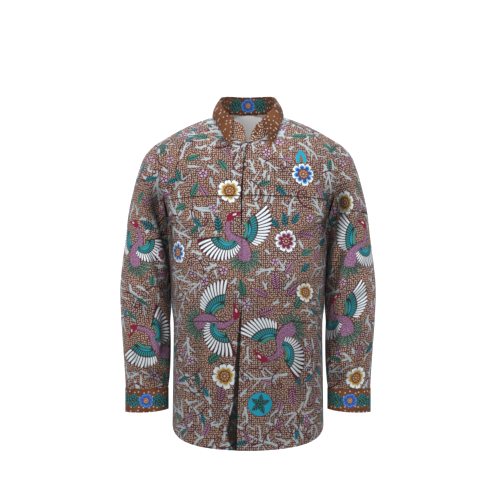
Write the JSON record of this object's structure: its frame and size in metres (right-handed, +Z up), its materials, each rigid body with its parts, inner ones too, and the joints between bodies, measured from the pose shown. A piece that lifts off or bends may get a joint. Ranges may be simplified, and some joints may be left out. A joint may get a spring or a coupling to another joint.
{
  "type": "long-sleeved batik shirt",
  "caption": "Hollow long-sleeved batik shirt, filled out as worn: dotted brown ground with birds, flowers and pale branches, plainer border cloth on collar and cuffs, concealed front closing.",
  "frame": {"origin": "the middle of the neck, level with the inner ends of the shoulders, where the wearer's neck and shoulders hold the shirt up", "axes": "+Z up, -Y the way the front faces, +X the wearer's left"},
  "size_m": [0.5896, 0.2666, 0.8054],
  "materials": {
    "batik_main": "wax-resist printed cotton, matt, brown dotted ground with grey-white branches, maroon, teal and white motifs",
    "batik_border": "wax-resist printed cotton, matt, brown with sparse cream dots and blue flowers",
    "lining_plain": "plain off-white cotton, matt",
    "button": "moulded brown polyester, softly polished"
  },
  "bodies": {
    "root": {"front_left": "batik_main", "front_right": "batik_main", "back": "batik_main", "yoke_lining": "lining_plain", "sleeve_left": "batik_main", "sleeve_right": "batik_main", "sleeve_placket_left": "batik_main", "sleeve_placket_right": "batik_main", "cuff_left": "batik_border", "cuff_right": "batik_border", "collar_stand": "batik_border", "collar_fall": "batik_border", "cuff_button_left": "button", "cuff_button_right": "button", "fly_button_1": "button", "fly_button_2": "button", "fly_button_3": "button", "fly_button_4": "button", "fly_button_5": "button", "fly_button_6": "button"}
  },
  "joints": []
}
